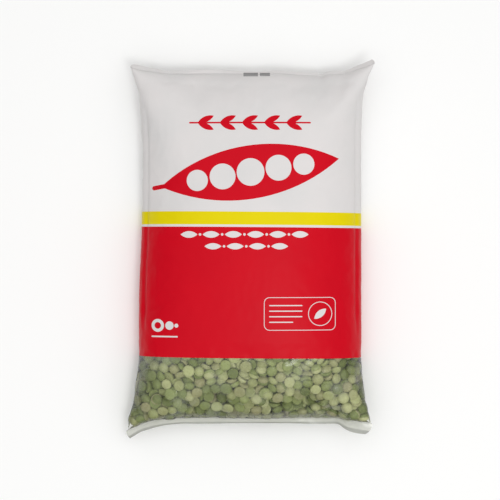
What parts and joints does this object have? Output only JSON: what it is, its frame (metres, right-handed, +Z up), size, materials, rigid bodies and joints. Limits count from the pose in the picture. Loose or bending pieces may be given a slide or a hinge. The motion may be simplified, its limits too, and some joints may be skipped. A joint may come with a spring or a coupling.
{
  "type": "bag of split peas",
  "caption": "Sealed film pillow bag of green split peas, lying on its back, with broad bands of colour and a clear end that shows the peas.",
  "frame": {"origin": "on the table under the middle of the bag's box, the bag lying on its back", "axes": "+X to the bag's right side, +Y along the bag to its top seal, +Z up, out of its printed front"},
  "size_m": [0.1368, 0.2086, 0.0374],
  "materials": {
    "white_print": "satin white ink on polyethylene film",
    "yellow_print": "yellow ink on polyethylene film",
    "red_print": "red ink on polyethylene film",
    "grey_print": "grey registration mark on polyethylene film",
    "clear_film": "clear polyethylene film",
    "split_peas": "dry matt green seed"
  },
  "bodies": {
    "root": {"bag": "red_print"}
  },
  "joints": []
}
